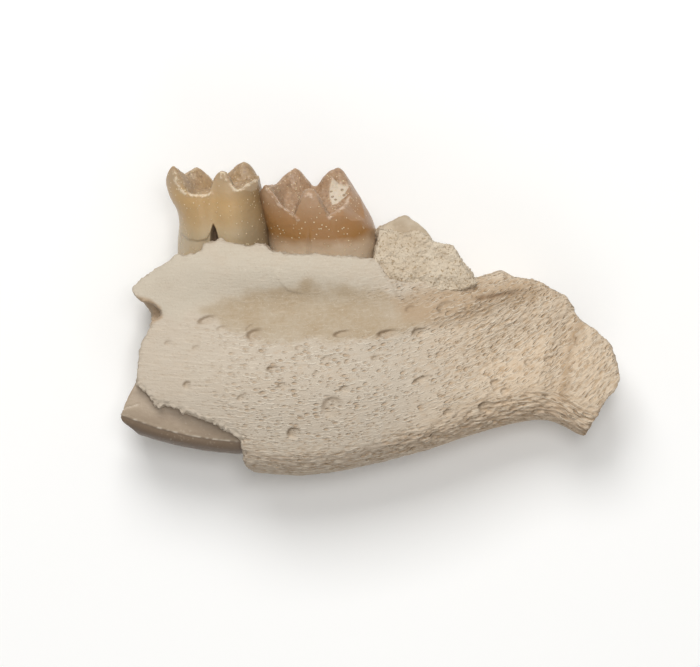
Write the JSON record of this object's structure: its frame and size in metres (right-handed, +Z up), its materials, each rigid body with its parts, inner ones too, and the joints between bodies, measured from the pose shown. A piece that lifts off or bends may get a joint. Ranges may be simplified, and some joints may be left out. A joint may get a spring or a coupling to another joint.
{
  "type": "fossil rodent jaw",
  "caption": "Broken right lower jaw of a small fossil rodent, lying tongue side up, with ridged cheek teeth, part of the gnawing tooth and sandstone in a tooth socket.",
  "frame": {"origin": "the middle of the object's box in plan, at the floor the jaw lies on", "axes": "+Z up, from the cheek side the jaw lies on to its tongue side; +Y towards the chewing surfaces; +X from the front tooth towards the back of the jaw"},
  "size_m": [0.02, 0.0127, 0.0058],
  "materials": {
    "fossil_bone": "dry pitted fossil bone, matt",
    "fossil_enamel": "polished amber tooth enamel",
    "incisor_dentine": "smooth grey-brown tooth, half gloss",
    "sandstone": "crumbly sandstone, matt"
  },
  "bodies": {
    "root": {"dentary": "fossil_bone", "incisor": "incisor_dentine", "cheek_tooth_1": "fossil_enamel", "cheek_tooth_2": "fossil_enamel", "cheek_tooth_3_stump": "fossil_enamel", "matrix_fill": "sandstone"}
  },
  "joints": []
}
